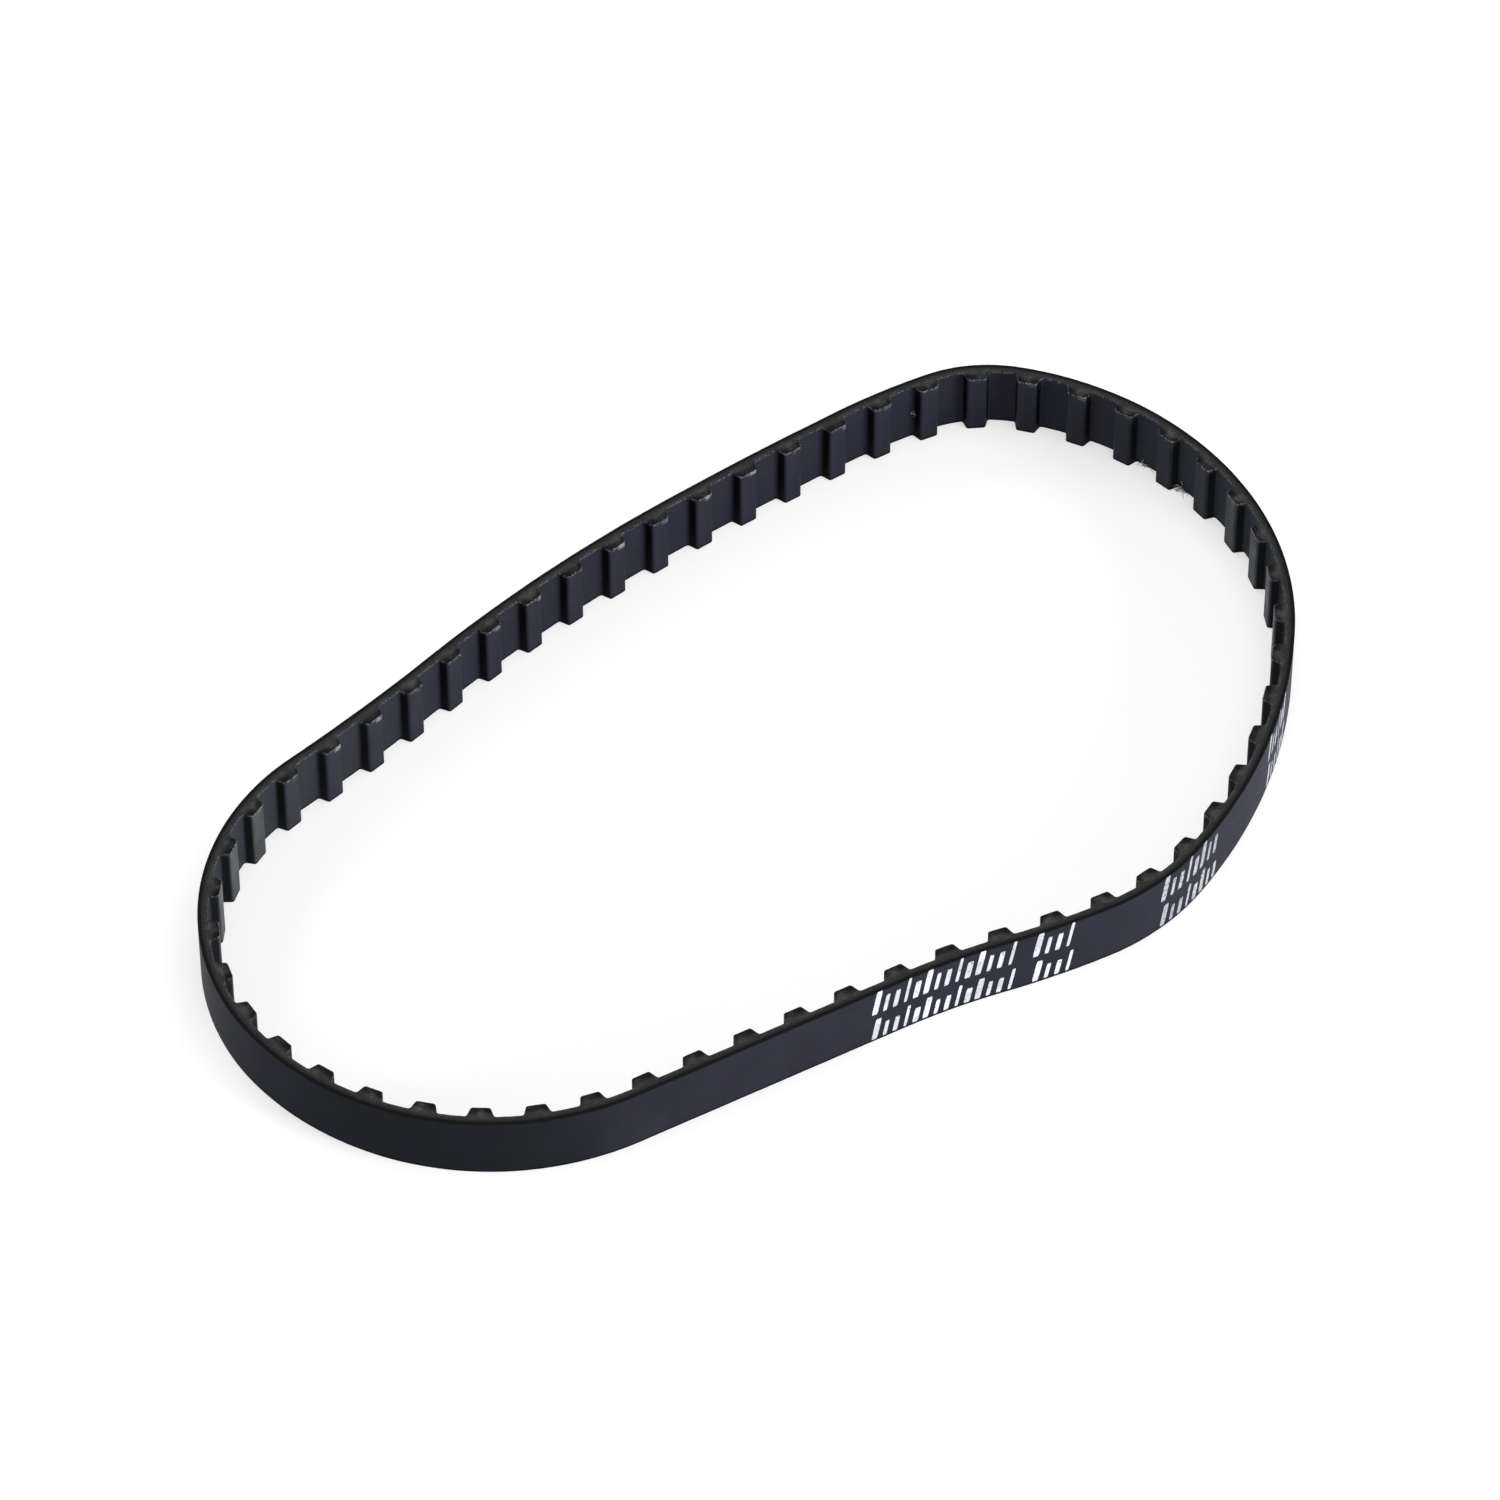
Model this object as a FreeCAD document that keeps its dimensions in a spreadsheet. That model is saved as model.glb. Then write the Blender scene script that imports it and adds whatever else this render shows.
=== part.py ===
"""Endless rubber timing belt of the inch L section, with 56 teeth, standing on one edge.

Origin: the centre of the loop's outer box, at the edge that the belt stands on. +X is the
loop's longest extent and +Z runs across the belt's width. Millimetres and degrees.

From the outside of the loop to the inside, the belt is built up of:
  backing                 rubber band with a smooth back, grooved inside for the cords
  tensile_cord_*_lay      two glass cords wound side by side on the pitch line
  tooth_01 to tooth_56    rubber cores of the teeth, clockwise from above
  tooth_facing            woven nylon skin over the teeth and the lands between them
"""

import FreeCAD, Part
import math
import os

SECTION = {
    "tooth_pitch": 9.525,
    "tooth_count": 56,
    "belt_width": 12.7,
    "belt_height": 3.60,
    "tooth_height": 1.91,
    "tooth_root_width": 4.65,
    "flank_angle": 20.0,
    "root_radius": 0.51,
    "tip_radius": 0.51,
    "land_depth": 0.381,
    "facing_thickness": 0.15,
    "cord_diameter": 0.40,
    "cord_turns": 12,
    "cord_spacing": 1.0,
}
LAYOUT = {
    "start_heading": 42.35,
    "first_tooth": 6.80,
}
# The loop's free shape, clockwise from above: name, length along the pitch line, and turn
# to the right. A negative turn is a hollow. Two more arcs close the loop's left end.
STRETCHES = [
    ("far_hollow", 33, -5.0),
    ("far_slope", 52, 10.5),
    ("far_side", 39, 3.5),
    ("far_shoulder", 17, 8.5),
    ("far_corner", 16, 37.0),
    ("right_end", 82, 82.0),
    ("near_sweep", 52, 31.5),
    ("near_corner", 20, 27.0),
    ("near_shoulder", 19, 7.0),
    ("near_hollow", 19, -8.5),
    ("near_side", 50, 0.0),
]
UP = FreeCAD.Vector(0, 0, 1)
RING_MAKER = "Part::FaceMakerBullseye"


def make_sheet(doc):
    """The driving dimensions, one aliased cell each."""
    sheet = doc.addObject("Spreadsheet::Sheet", "sizes")
    cells = {**SECTION, **LAYOUT}
    for name, length, turn in STRETCHES:
        cells[name + "_length"] = length
        cells[name + "_turn"] = turn
    for row, (alias, value) in enumerate(cells.items(), start=1):
        sheet.set(f"A{row}", alias)
        sheet.set(f"B{row}", str(value))
        sheet.setAlias(f"B{row}", alias)
    doc.recompute()
    return sheet


# ---- edges and directions ----


def direction(angle):
    return FreeCAD.Vector(math.cos(angle), math.sin(angle), 0)


def inward(angle):
    """The belt runs clockwise, so the inside of the loop is on its right."""
    return FreeCAD.Vector(math.sin(angle), -math.cos(angle), 0)


def line(start, finish):
    return Part.LineSegment(start, finish).toShape()


def curve(start, middle, finish):
    """The arc through three points, or the line where they are in line."""
    straight = (middle - start).cross(finish - middle).Length < 1e-9
    return line(start, finish) if straight else Part.Arc(start, middle, finish).toShape()


def fillet(corner, before, after, radius):
    """Start, middle and finish of the arc that rounds a corner between two directions."""
    half_turn = before.getAngle(after) / 2
    reach = radius * math.tan(half_turn)
    inside = (after - before).normalize()
    middle = corner + inside * (radius / math.cos(half_turn) - radius)
    return corner - before * reach, middle, corner + after * reach


# ---- the pitch line: a closed chain of tangent arcs ----


class Stretch:
    """An arc of the pitch line, or a straight run where turn is 0."""

    def __init__(self, start, heading, length, turn):
        self.start = start
        self.heading = heading
        self.length = length
        self.turn = turn

    def at(self, distance):
        """Point and heading at a distance along the stretch."""
        if self.turn == 0:
            return self.start + direction(self.heading) * distance, self.heading
        radius = self.length / self.turn
        heading = self.heading - distance / radius
        return self.start + (inward(self.heading) - inward(heading)) * radius, heading


def chain(start, heading, bends):
    """Stretches laid end to end, each (length, turn)."""
    stretches = []
    for length, turn in bends:
        stretches.append(Stretch(start, heading, length, turn))
        start, heading = stretches[-1].at(length)
    return stretches


def arc_between(start, heading, finish):
    """The arc that leaves start along heading and ends at finish."""
    chord = finish - start
    half_turn = math.remainder(heading - math.atan2(chord.y, chord.x), 2 * math.pi)
    length = chord.Length * half_turn / math.sin(half_turn)
    return Stretch(start, heading, length, 2 * half_turn)


def closing_pair(start, heading, finish, finish_heading):
    """Two arcs, tangent to each other and to both ends, from start to finish."""
    leave, arrive = direction(heading), direction(finish_heading)
    gap = finish - start
    square = 2 * (1 - leave.dot(arrive))
    linear = 2 * gap.dot(leave + arrive)
    root = math.sqrt(linear**2 + 4 * square * gap.dot(gap))
    reach = (root - linear) / (2 * square)
    middle = (start + leave * reach + finish - arrive * reach) / 2
    first = arc_between(start, heading, middle)
    return [first, arc_between(middle, first.at(first.length)[1], finish)]


def closed_chain(start, heading, bends):
    stretches = chain(start, heading, bends)
    last = stretches[-1]
    return stretches + closing_pair(*last.at(last.length), start, heading)


class Loop:
    """The pitch line, scaled to its exact length and centred on the belt's outer box."""

    def __init__(self, sheet):
        self.length = sheet.tooth_pitch * sheet.tooth_count
        self.back = sheet.belt_height - sheet.tooth_height - sheet.land_depth
        heading = math.radians(sheet.start_heading)
        bends = [
            (sheet.get(name + "_length"), math.radians(sheet.get(name + "_turn")))
            for name, _, _ in STRETCHES
        ]
        drawn = closed_chain(FreeCAD.Vector(), heading, bends)
        scale = self.length / sum(stretch.length for stretch in drawn)
        bends = [(length * scale, turn) for length, turn in bends]
        self.stretches = closed_chain(FreeCAD.Vector(), heading, bends)
        centre = self.wire(self.back).optimalBoundingBox().Center
        self.stretches = closed_chain(-centre, heading, bends)

    def station(self, distance):
        """Point and heading at a distance along the whole pitch line."""
        distance %= self.length
        for stretch in self.stretches:
            if distance <= stretch.length:
                break
            distance -= stretch.length
        return stretch.at(distance)

    def point(self, distance, offset):
        """A point at an offset from the pitch line, positive towards the belt's back."""
        place, heading = self.station(distance)
        return place - inward(heading) * offset

    def edges(self, begin, finish, offset):
        """Edges parallel to the pitch line, from one distance along it to another."""
        stops = [begin]
        reached = 0.0
        for stretch in self.stretches[:-1]:
            reached += stretch.length
            if begin < reached < finish:
                stops.append(reached)
        stops.append(finish)
        return [
            curve(*(self.point(at, offset) for at in (low, (low + high) / 2, high)))
            for low, high in zip(stops, stops[1:])
        ]

    def wire(self, offset):
        return Part.Wire(self.edges(0.0, self.length, offset))


# ---- the tooth outline ----


class Tooth:
    """The outline of one tooth, on the facing's surface or at an inset below it.

    The flanks and the tip keep their shape where the belt bends. The roots follow the land.
    """

    def __init__(self, loop, sheet, centre, inset):
        slope = math.radians(sheet.flank_angle)
        narrowing = inset * (1 / math.cos(slope) - math.tan(slope))
        half_root = sheet.tooth_root_width / 2 - narrowing
        half_tip = half_root - sheet.tooth_height * math.tan(slope)
        self.land = inset - sheet.land_depth

        place, heading = loop.station(centre)
        along = direction(heading)
        crest = place + inward(heading) * (sheet.tooth_height - self.land)
        tips = [crest - along * half_tip, crest + along * half_tip]
        ends = [centre - half_root, centre + half_root]
        roots = [loop.point(end, self.land) for end in ends]
        arriving, leaving = (direction(loop.station(end)[1]) for end in ends)
        rise = (tips[0] - roots[0]).normalize()
        fall = (roots[1] - tips[1]).normalize()

        root_radius = sheet.root_radius + inset
        tip_radius = sheet.tip_radius - inset
        first = fillet(roots[0], arriving, rise, root_radius)
        last = fillet(roots[1], fall, leaving, root_radius)
        self.start = ends[0] - (roots[0] - first[0]).Length
        self.finish = ends[1] + (last[2] - roots[1]).Length
        self.rounds = [
            (loop.point(self.start, self.land), *first[1:]),
            fillet(tips[0], rise, along, tip_radius),
            fillet(tips[1], along, fall, tip_radius),
            (*last[:2], loop.point(self.finish, self.land)),
        ]

    def edges(self):
        made = [curve(*self.rounds[0])]
        for before, after in zip(self.rounds, self.rounds[1:]):
            made += [line(before[2], after[0]), curve(*after)]
        return made


def teeth(loop, sheet, inset):
    first, pitch = sheet.first_tooth, sheet.tooth_pitch
    return [Tooth(loop, sheet, first + i * pitch, inset) for i in range(int(sheet.tooth_count))]


def toothed_wire(loop, sheet, inset):
    """The closed outline of all the teeth and the lands between them."""
    edges = []
    reached = 0.0
    for tooth in teeth(loop, sheet, inset):
        edges += loop.edges(reached, tooth.start, tooth.land) + tooth.edges()
        reached = tooth.finish
    return Part.Wire(edges + loop.edges(reached, loop.length, tooth.land))


# ---- sub-parts ----


def helper(doc, name, shape):
    """A shape that another object is built from."""
    feature = doc.addObject("Part::Feature", name)
    feature.Shape = shape
    return feature


def across_width(doc, name, outline):
    """A flat outline carried across the whole width of the belt."""
    piece = doc.addObject("Part::Extrusion", name)
    piece.Base = helper(doc, name + "_outline", outline)
    piece.DirMode = "Custom"
    piece.Dir = UP
    piece.Solid = True
    piece.setExpression("LengthFwd", "sizes.belt_width")
    return piece


def cord_heights(sheet):
    """Height of each turn of cord, evenly spaced about the middle of the width."""
    turns = int(sheet.cord_turns)
    middle = (turns - 1) / 2
    return [sheet.belt_width / 2 + (i - middle) * sheet.cord_spacing for i in range(turns)]


def cord_channel(loop, sheet, height):
    """A groove round the loop with a half-round bed, open towards the teeth."""
    radius = sheet.cord_diameter / 2

    def corner(offset, side):
        return loop.point(0.0, offset) + UP * (height + side * radius)

    mouth = -sheet.land_depth
    section = Part.Wire([
        line(corner(mouth, -1), corner(0.0, -1)),
        curve(corner(0.0, -1), corner(radius, 0), corner(0.0, 1)),
        line(corner(0.0, 1), corner(mouth, 1)),
        line(corner(mouth, 1), corner(mouth, -1)),
    ])
    return loop.wire(0.0).makePipeShell([section], True, False)


def make_backing(doc, loop, sheet):
    inner = loop.wire(sheet.facing_thickness - sheet.land_depth)
    outline = Part.makeFace([loop.wire(loop.back), inner], RING_MAKER)
    channels = [cord_channel(loop, sheet, height) for height in cord_heights(sheet)]
    backing = doc.addObject("Part::Cut", "backing")
    backing.Base = across_width(doc, "backing_blank", outline)
    backing.Tool = helper(doc, "cord_channels", Part.makeCompound(channels))
    return backing


def cord_turn(doc, name, pitch_line, loop, height):
    """One turn of cord: a circle swept round the pitch line."""
    place, heading = loop.station(0.0)
    circle = doc.addObject("Part::Circle", name + "_section")
    circle.setExpression("Radius", "sizes.cord_diameter / 2")
    across = FreeCAD.Rotation(UP, direction(heading))
    circle.Placement = FreeCAD.Placement(place + UP * height, across)
    turn = doc.addObject("Part::Sweep", name)
    turn.Sections = [circle]
    turn.Spine = (pitch_line, [f"Edge{i + 1}" for i in range(len(loop.stretches))])
    turn.Solid = True
    turn.Frenet = False
    return turn


def make_cords(doc, loop, sheet):
    """Neighbouring turns belong to cords of opposite lay, so that the belt tracks straight."""
    pitch_line = helper(doc, "pitch_line", loop.wire(0.0))
    turns = [
        cord_turn(doc, f"cord_turn_{i + 1:02d}", pitch_line, loop, height)
        for i, height in enumerate(cord_heights(sheet))
    ]
    cords = []
    for first, name in enumerate(("tensile_cord_left_lay", "tensile_cord_right_lay")):
        cord = doc.addObject("Part::Compound", name)
        cord.Links = turns[first::2]
        cords.append(cord)
    return cords


def make_facing(doc, loop, sheet):
    bonded_side = toothed_wire(loop, sheet, sheet.facing_thickness)
    outline = Part.makeFace([bonded_side, toothed_wire(loop, sheet, 0.0)], RING_MAKER)
    return across_width(doc, "tooth_facing", outline)


def make_tooth_cores(doc, loop, sheet):
    cores = []
    for i, tooth in enumerate(teeth(loop, sheet, sheet.facing_thickness)):
        root = loop.edges(tooth.start, tooth.finish, tooth.land)
        outline = Part.makeFace(Part.Wire(tooth.edges() + root[::-1]), RING_MAKER)
        cores.append(across_width(doc, f"tooth_{i + 1:02d}", outline))
    return cores


def check(doc, subparts):
    for item in doc.Objects:
        if {"Invalid", "Error"} & set(item.State):
            raise RuntimeError(f"{item.Label} failed: {item.State}")
    for piece in subparts:
        if piece.Shape.isNull() or not piece.Shape.isValid():
            raise RuntimeError(f"{piece.Label} has no valid shape")


def main():
    os.makedirs("parts", exist_ok=True)
    doc = FreeCAD.newDocument("timing_belt")
    sheet = make_sheet(doc)
    loop = Loop(sheet)
    subparts = [
        make_backing(doc, loop, sheet),
        *make_cords(doc, loop, sheet),
        make_facing(doc, loop, sheet),
        *make_tooth_cores(doc, loop, sheet),
    ]
    doc.recompute()
    check(doc, subparts)
    for piece in subparts:
        piece.Shape.exportStep(f"parts/{piece.Label}.step")
        solids = len(piece.Shape.Solids)
        print(f"{piece.Label}: {solids} solids, {piece.Shape.Volume:.1f} cubic mm")


main()
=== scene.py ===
"""Looks of an endless toothed rubber belt standing on one edge, built round its CAD frame. Metres.

The belt is drawn along its pitch line, a closed chain of tangent arcs run clockwise from above.
A place on the belt is given by its run along the pitch line, its offset from the pitch line
(positive towards the smooth back) and its rise above the floor. In plan, places and directions
are complex numbers, x + iy.
"""

import math

import bpy
import numpy as np
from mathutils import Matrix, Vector


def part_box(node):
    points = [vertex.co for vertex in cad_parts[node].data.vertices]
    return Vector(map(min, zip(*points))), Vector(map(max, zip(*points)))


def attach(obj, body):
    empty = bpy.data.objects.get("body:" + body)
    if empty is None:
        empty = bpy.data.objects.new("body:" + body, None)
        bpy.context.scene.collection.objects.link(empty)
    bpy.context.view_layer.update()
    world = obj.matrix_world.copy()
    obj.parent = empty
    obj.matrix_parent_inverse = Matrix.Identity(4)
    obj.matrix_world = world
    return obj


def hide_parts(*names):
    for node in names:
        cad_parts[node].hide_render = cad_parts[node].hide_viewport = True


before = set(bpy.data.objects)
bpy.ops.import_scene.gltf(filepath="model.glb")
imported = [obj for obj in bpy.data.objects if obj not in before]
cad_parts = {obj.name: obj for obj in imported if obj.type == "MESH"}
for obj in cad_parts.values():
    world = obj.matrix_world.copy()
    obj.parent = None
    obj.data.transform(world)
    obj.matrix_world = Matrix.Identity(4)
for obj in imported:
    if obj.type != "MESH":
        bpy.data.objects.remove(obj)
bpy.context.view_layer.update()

MM = 0.001
BODY = "root"

# The belt's section
TOOTH_PITCH = 9.525 * MM
TOOTH_COUNT = 56
BELT_HEIGHT = 3.60 * MM
TOOTH_HEIGHT = 1.91 * MM
TOOTH_ROOT_WIDTH = 4.65 * MM
FLANK_ANGLE = math.radians(20.0)
ROOT_RADIUS = 0.51 * MM
TIP_RADIUS = 0.51 * MM
LAND_DEPTH = 0.381 * MM
FACING = 0.15 * MM
CORD_RADIUS = 0.20 * MM
CORD_TURNS = 12
CORD_SPACING = 1.0 * MM

LOOP_LENGTH = TOOTH_PITCH * TOOTH_COUNT
LAP_RADIUS = LOOP_LENGTH / (2 * math.pi)
BACK = BELT_HEIGHT - TOOTH_HEIGHT - LAND_DEPTH
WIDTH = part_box("backing")[1].z

# The loop's free shape: length of each stretch and its turn to the right in degrees. Two more
# arcs close the loop's left end.
START_HEADING = 42.35
FIRST_TOOTH = 6.80 * MM
STRETCHES = [
    (33, -5.0), (52, 10.5), (39, 3.5), (17, 8.5), (16, 37.0), (82, 82.0),
    (52, 31.5), (20, 27.0), (19, 7.0), (19, -8.5), (50, 0.0),
]

# How unevenly the edges were cut
CUT_SLOW = 0.07 * MM
CUT_FAST = 0.04 * MM


# ---- the pitch line ----


def heading(degrees):
    return np.exp(1j * math.radians(degrees))


def along_arc(place, forward, length, turn, distance):
    """Place and direction at a distance along an arc, or a line where turn is 0."""
    angle = turn / length * distance
    chord = distance * np.sinc(angle / (2 * math.pi))
    return place + chord * forward * np.exp(-0.5j * angle), forward * np.exp(-1j * angle)


def dot(first, second):
    return (np.conj(first) * second).real


def arc_to(place, forward, finish):
    """The arc that leaves place along forward and ends at finish."""
    chord = finish - place
    turn = -2 * np.angle(chord / forward)
    return place, forward, abs(chord) / np.sinc(turn / (2 * math.pi)), turn


def closed_chain(bends):
    """Arcs laid end to end from the origin, and two more that close the loop."""
    place, forward = 0j, heading(START_HEADING)
    arcs = []
    for length, turn in bends:
        arcs.append((place, forward, length, turn))
        place, forward = along_arc(*arcs[-1], length)
    gap, arrive = -place, heading(START_HEADING)
    square = 2 * (1 - dot(forward, arrive))
    linear = 2 * dot(gap, forward + arrive)
    reach = (math.sqrt(linear**2 + 4 * square * abs(gap) ** 2) - linear) / (2 * square)
    middle = (place + forward * reach - arrive * reach) / 2
    first = arc_to(place, forward, middle)
    return arcs + [first, arc_to(*along_arc(*first, first[2]), 0j)]


class Loop:
    """The pitch line at its exact length, centred on the belt's outer box."""

    def __init__(self):
        bends = [(length * MM, math.radians(turn)) for length, turn in STRETCHES]
        drawn = closed_chain(bends)
        scale = LOOP_LENGTH / sum(arc[2] for arc in drawn)
        arcs = closed_chain([(length * scale, turn) for length, turn in bends])
        self.places, self.forwards, self.lengths, self.turns = map(np.array, zip(*arcs))
        self.starts = np.concatenate(([0.0], np.cumsum(self.lengths)[:-1]))
        back = self.point(np.linspace(0, LOOP_LENGTH, 20001), BACK)
        low = complex(back.real.min(), back.imag.min())
        high = complex(back.real.max(), back.imag.max())
        self.places = self.places - (low + high) / 2

    def station(self, run):
        """Place and direction on the pitch line."""
        run = np.mod(run, LOOP_LENGTH)
        i = np.searchsorted(self.starts, run, side="right") - 1
        distance = run - self.starts[i]
        return along_arc(self.places[i], self.forwards[i], self.lengths[i], self.turns[i], distance)

    def point(self, run, offset):
        place, forward = self.station(run)
        return place + 1j * forward * offset


LOOP = Loop()


# ---- meshes ----


def ripple(run, laps, size, seed):
    """A smooth unevenness from -size to size that repeats once round the loop.

    laps gives the lowest and highest number of waves in one lap.
    """
    rng = np.random.default_rng(seed)
    counts = rng.integers(*laps, 16)
    phases = rng.uniform(0, 2 * math.pi, 16)
    waves = np.sin(np.multiply.outer(run, counts * 2 * math.pi / LOOP_LENGTH) + phases)
    return size * np.clip(waves.mean(axis=-1) * 2.5, -1, 1)


def cut_depth(run, seed):
    """How far an edge is cut short of the full width, never negative."""
    slow = ripple(run, (9, 60), CUT_SLOW / 2, seed) + CUT_SLOW / 2
    fast = ripple(run, (150, 330), CUT_FAST / 2, seed + 1) + CUT_FAST / 2
    return slow + fast


def cut_rise(run, rise):
    """Rise of a point after the uneven cut: the edges move in and the middle stays."""
    up = rise / WIDTH
    return rise + (1 - up) ** 8 * cut_depth(run, 11) - up**8 * cut_depth(run, 21)


def new_object(name, points, faces, materials, face_material=None):
    mesh = bpy.data.meshes.new(name)
    mesh.from_pydata(points.reshape(-1, 3).tolist(), [], faces.tolist())
    for material in materials:
        mesh.materials.append(material)
    if face_material is not None:
        mesh.polygons.foreach_set("material_index", face_material.astype(np.int32))
    mesh.shade_smooth()
    mesh.set_sharp_from_angle(angle=math.radians(40))
    piece = bpy.data.objects.new(name, mesh)
    bpy.context.scene.collection.objects.link(piece)
    return piece


def store(piece, name, values, domain="POINT"):
    data = piece.data.attributes.new(name, "FLOAT", domain).data
    data.foreach_set("value", np.ascontiguousarray(values, dtype=np.float32).ravel())


def lap_faces(rows, columns):
    """Quads of a grid of points that closes on itself both ways."""
    i, j = np.meshgrid(np.arange(rows), np.arange(columns), indexing="ij")
    k, m = (i + 1) % rows, (j + 1) % columns
    quads = np.stack([i * columns + j, k * columns + j, k * columns + m, i * columns + m], axis=-1)
    return quads.reshape(-1, 4)


def lap_runs(runs, columns, length):
    """The run of each corner of lap_faces, which reaches the whole length at the last row."""
    ends = np.append(runs[1:], length)
    rows = np.stack([runs, ends, ends, runs], axis=-1)
    return np.repeat(rows[:, None, :], columns, axis=1)


def plan_points(plan, rise):
    return np.stack([plan.real, plan.imag, np.broadcast_to(rise, plan.shape)], axis=-1)


def arc_points(centre, radius, start, finish, count):
    """Points on a quarter or half round, as (offset, rise) pairs, angles in degrees."""
    angles = np.radians(np.linspace(start, finish, count))
    return [(centre[0] + radius * math.cos(a), centre[1] + radius * math.sin(a)) for a in angles]


def slab(front, rear):
    """Points and faces of a closed slab between two grids of points."""
    rows, columns = front.shape[:2]
    index = np.arange(rows * columns).reshape(rows, columns)
    quads = np.stack([index[:-1, :-1], index[1:, :-1], index[1:, 1:], index[:-1, 1:]], axis=-1)
    quads = quads.reshape(-1, 4)
    rim = np.concatenate([index[:-1, 0], index[-1, :-1], index[:0:-1, -1], index[0, :0:-1]])
    ahead = np.roll(rim, -1)
    below = rows * columns
    walls = np.stack([rim + below, ahead + below, ahead, rim], axis=-1)
    points = np.concatenate([front.reshape(-1, 3), rear.reshape(-1, 3)])
    return points, np.concatenate([quads, quads[:, ::-1] + below, walls])


def joined(parts):
    """Several (points, faces) as one."""
    points, faces, total = [], [], 0
    for part_points, part_faces in parts:
        points.append(part_points)
        faces.append(part_faces + total)
        total += len(part_points)
    return np.concatenate(points), np.concatenate(faces)


# ---- shader nodes ----


class Paint:
    """A material whose nodes are added one call at a time. Each call returns an output."""

    def __init__(self, name, **constants):
        self.material = bpy.data.materials.new(name)
        self.material.use_nodes = True
        self.tree = self.material.node_tree
        self.shader = self.tree.nodes["Principled BSDF"]
        for socket, value in constants.items():
            self.shader.inputs[socket.replace("_", " ")].default_value = value

    def node(self, kind, inputs, settings=None):
        node = self.tree.nodes.new("ShaderNode" + kind)
        for name, value in (settings or {}).items():
            setattr(node, name, value)
        for socket, value in inputs.items():
            self.feed(node.inputs[socket], value)
        return node

    def feed(self, socket, value):
        if isinstance(value, bpy.types.NodeSocket):
            self.tree.links.new(value, socket)
        else:
            socket.default_value = value

    def set(self, socket, value):
        self.feed(self.shader.inputs[socket], value)

    def attribute(self, name):
        return self.node("Attribute", {}, {"attribute_name": name}).outputs["Fac"]

    def place(self):
        """The point itself, in the frame's metres."""
        return self.node("NewGeometry", {}).outputs["Position"]

    def along_x(self):
        return self.node("SeparateXYZ", {"Vector": self.place()}).outputs["X"]

    def math(self, operation, *values):
        inputs = dict(enumerate(values))
        return self.node("Math", inputs, {"operation": operation}).outputs[0]

    def both(self, first, second):
        return self.math("MULTIPLY", first, second)

    def scale(self, vector, *factors):
        inputs = {0: vector, 1: factors}
        return self.node("VectorMath", inputs, {"operation": "MULTIPLY"}).outputs[0]

    def lap(self, run, rise):
        """A vector that wraps round the loop without a seam, for marks that follow the belt."""
        angle = self.math("DIVIDE", run, LAP_RADIUS)
        inputs = {
            "X": self.math("MULTIPLY", self.math("COSINE", angle), LAP_RADIUS),
            "Y": self.math("MULTIPLY", self.math("SINE", angle), LAP_RADIUS),
            "Z": rise,
        }
        return self.node("CombineXYZ", inputs).outputs[0]

    def noise(self, vector, size, detail=2.0, roughness=0.5):
        """Cloudy values around 0.5 whose patches are about size across."""
        inputs = {"Vector": vector, "Scale": 1 / size, "Detail": detail, "Roughness": roughness}
        return self.node("TexNoise", inputs).outputs[0]

    def fade(self, value, low, high, bottom=0.0, top=1.0):
        """bottom where value is low, top where it is high, and a smooth step between."""
        inputs = {"Value": value, "From Min": low, "From Max": high, "To Min": bottom, "To Max": top}
        settings = {"interpolation_type": "SMOOTHSTEP"}
        return self.node("MapRange", inputs, settings).outputs[0]

    def mix(self, amount, first, second):
        colours = [(*c, 1.0) if isinstance(c, tuple) else c for c in (first, second)]
        inputs = dict(zip(("Fac", "Color1", "Color2"), (amount, *colours)))
        return self.node("MixRGB", inputs).outputs[0]

    def bump(self, height, distance, below=None):
        inputs = {"Height": height, "Distance": distance, "Strength": 1.0}
        if below is not None:
            inputs["Normal"] = below
        return self.node("Bump", inputs).outputs[0]


# ---- materials ----

# Colours that more than one material uses
SHADOW_BLACK = (0.0015, 0.0018, 0.0022)
EDGE_BLACK = (0.0015, 0.0015, 0.002)

GRIND_STRETCH = 0.06
# The stretch of the back at the loop's left end that is darkened with painted shade: where it starts,
# is full and ends
SHADED_STRETCH_START = 398 * MM
SHADED_STRETCH_FULL = 415 * MM
SHADED_STRETCH_END = 510 * MM
# How far out along x the facing starts to get painted light, and has it fully
LIT_ENDS_START = 40 * MM
LIT_ENDS_FULL = 80 * MM
# Where along x the tooth corners go from very pale to hardly pale, partly with wear and partly as a
# painted highlight
PALE_CORNERS_UP_TO = 5 * MM
PLAIN_CORNERS_FROM = 25 * MM
# How far out along x the crests start to get a pale grey painted highlight, and have it fully
CREST_HIGHLIGHT_START = 76 * MM
CREST_HIGHLIGHT_FULL = 90 * MM
# How far out along x the ink starts to be faded, and is fully so
FADED_START = 58 * MM
FADED_FULL = 70 * MM
WEAVE_THREADS = 1680
WEAVE_PITCH = 0.34 * MM


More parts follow.
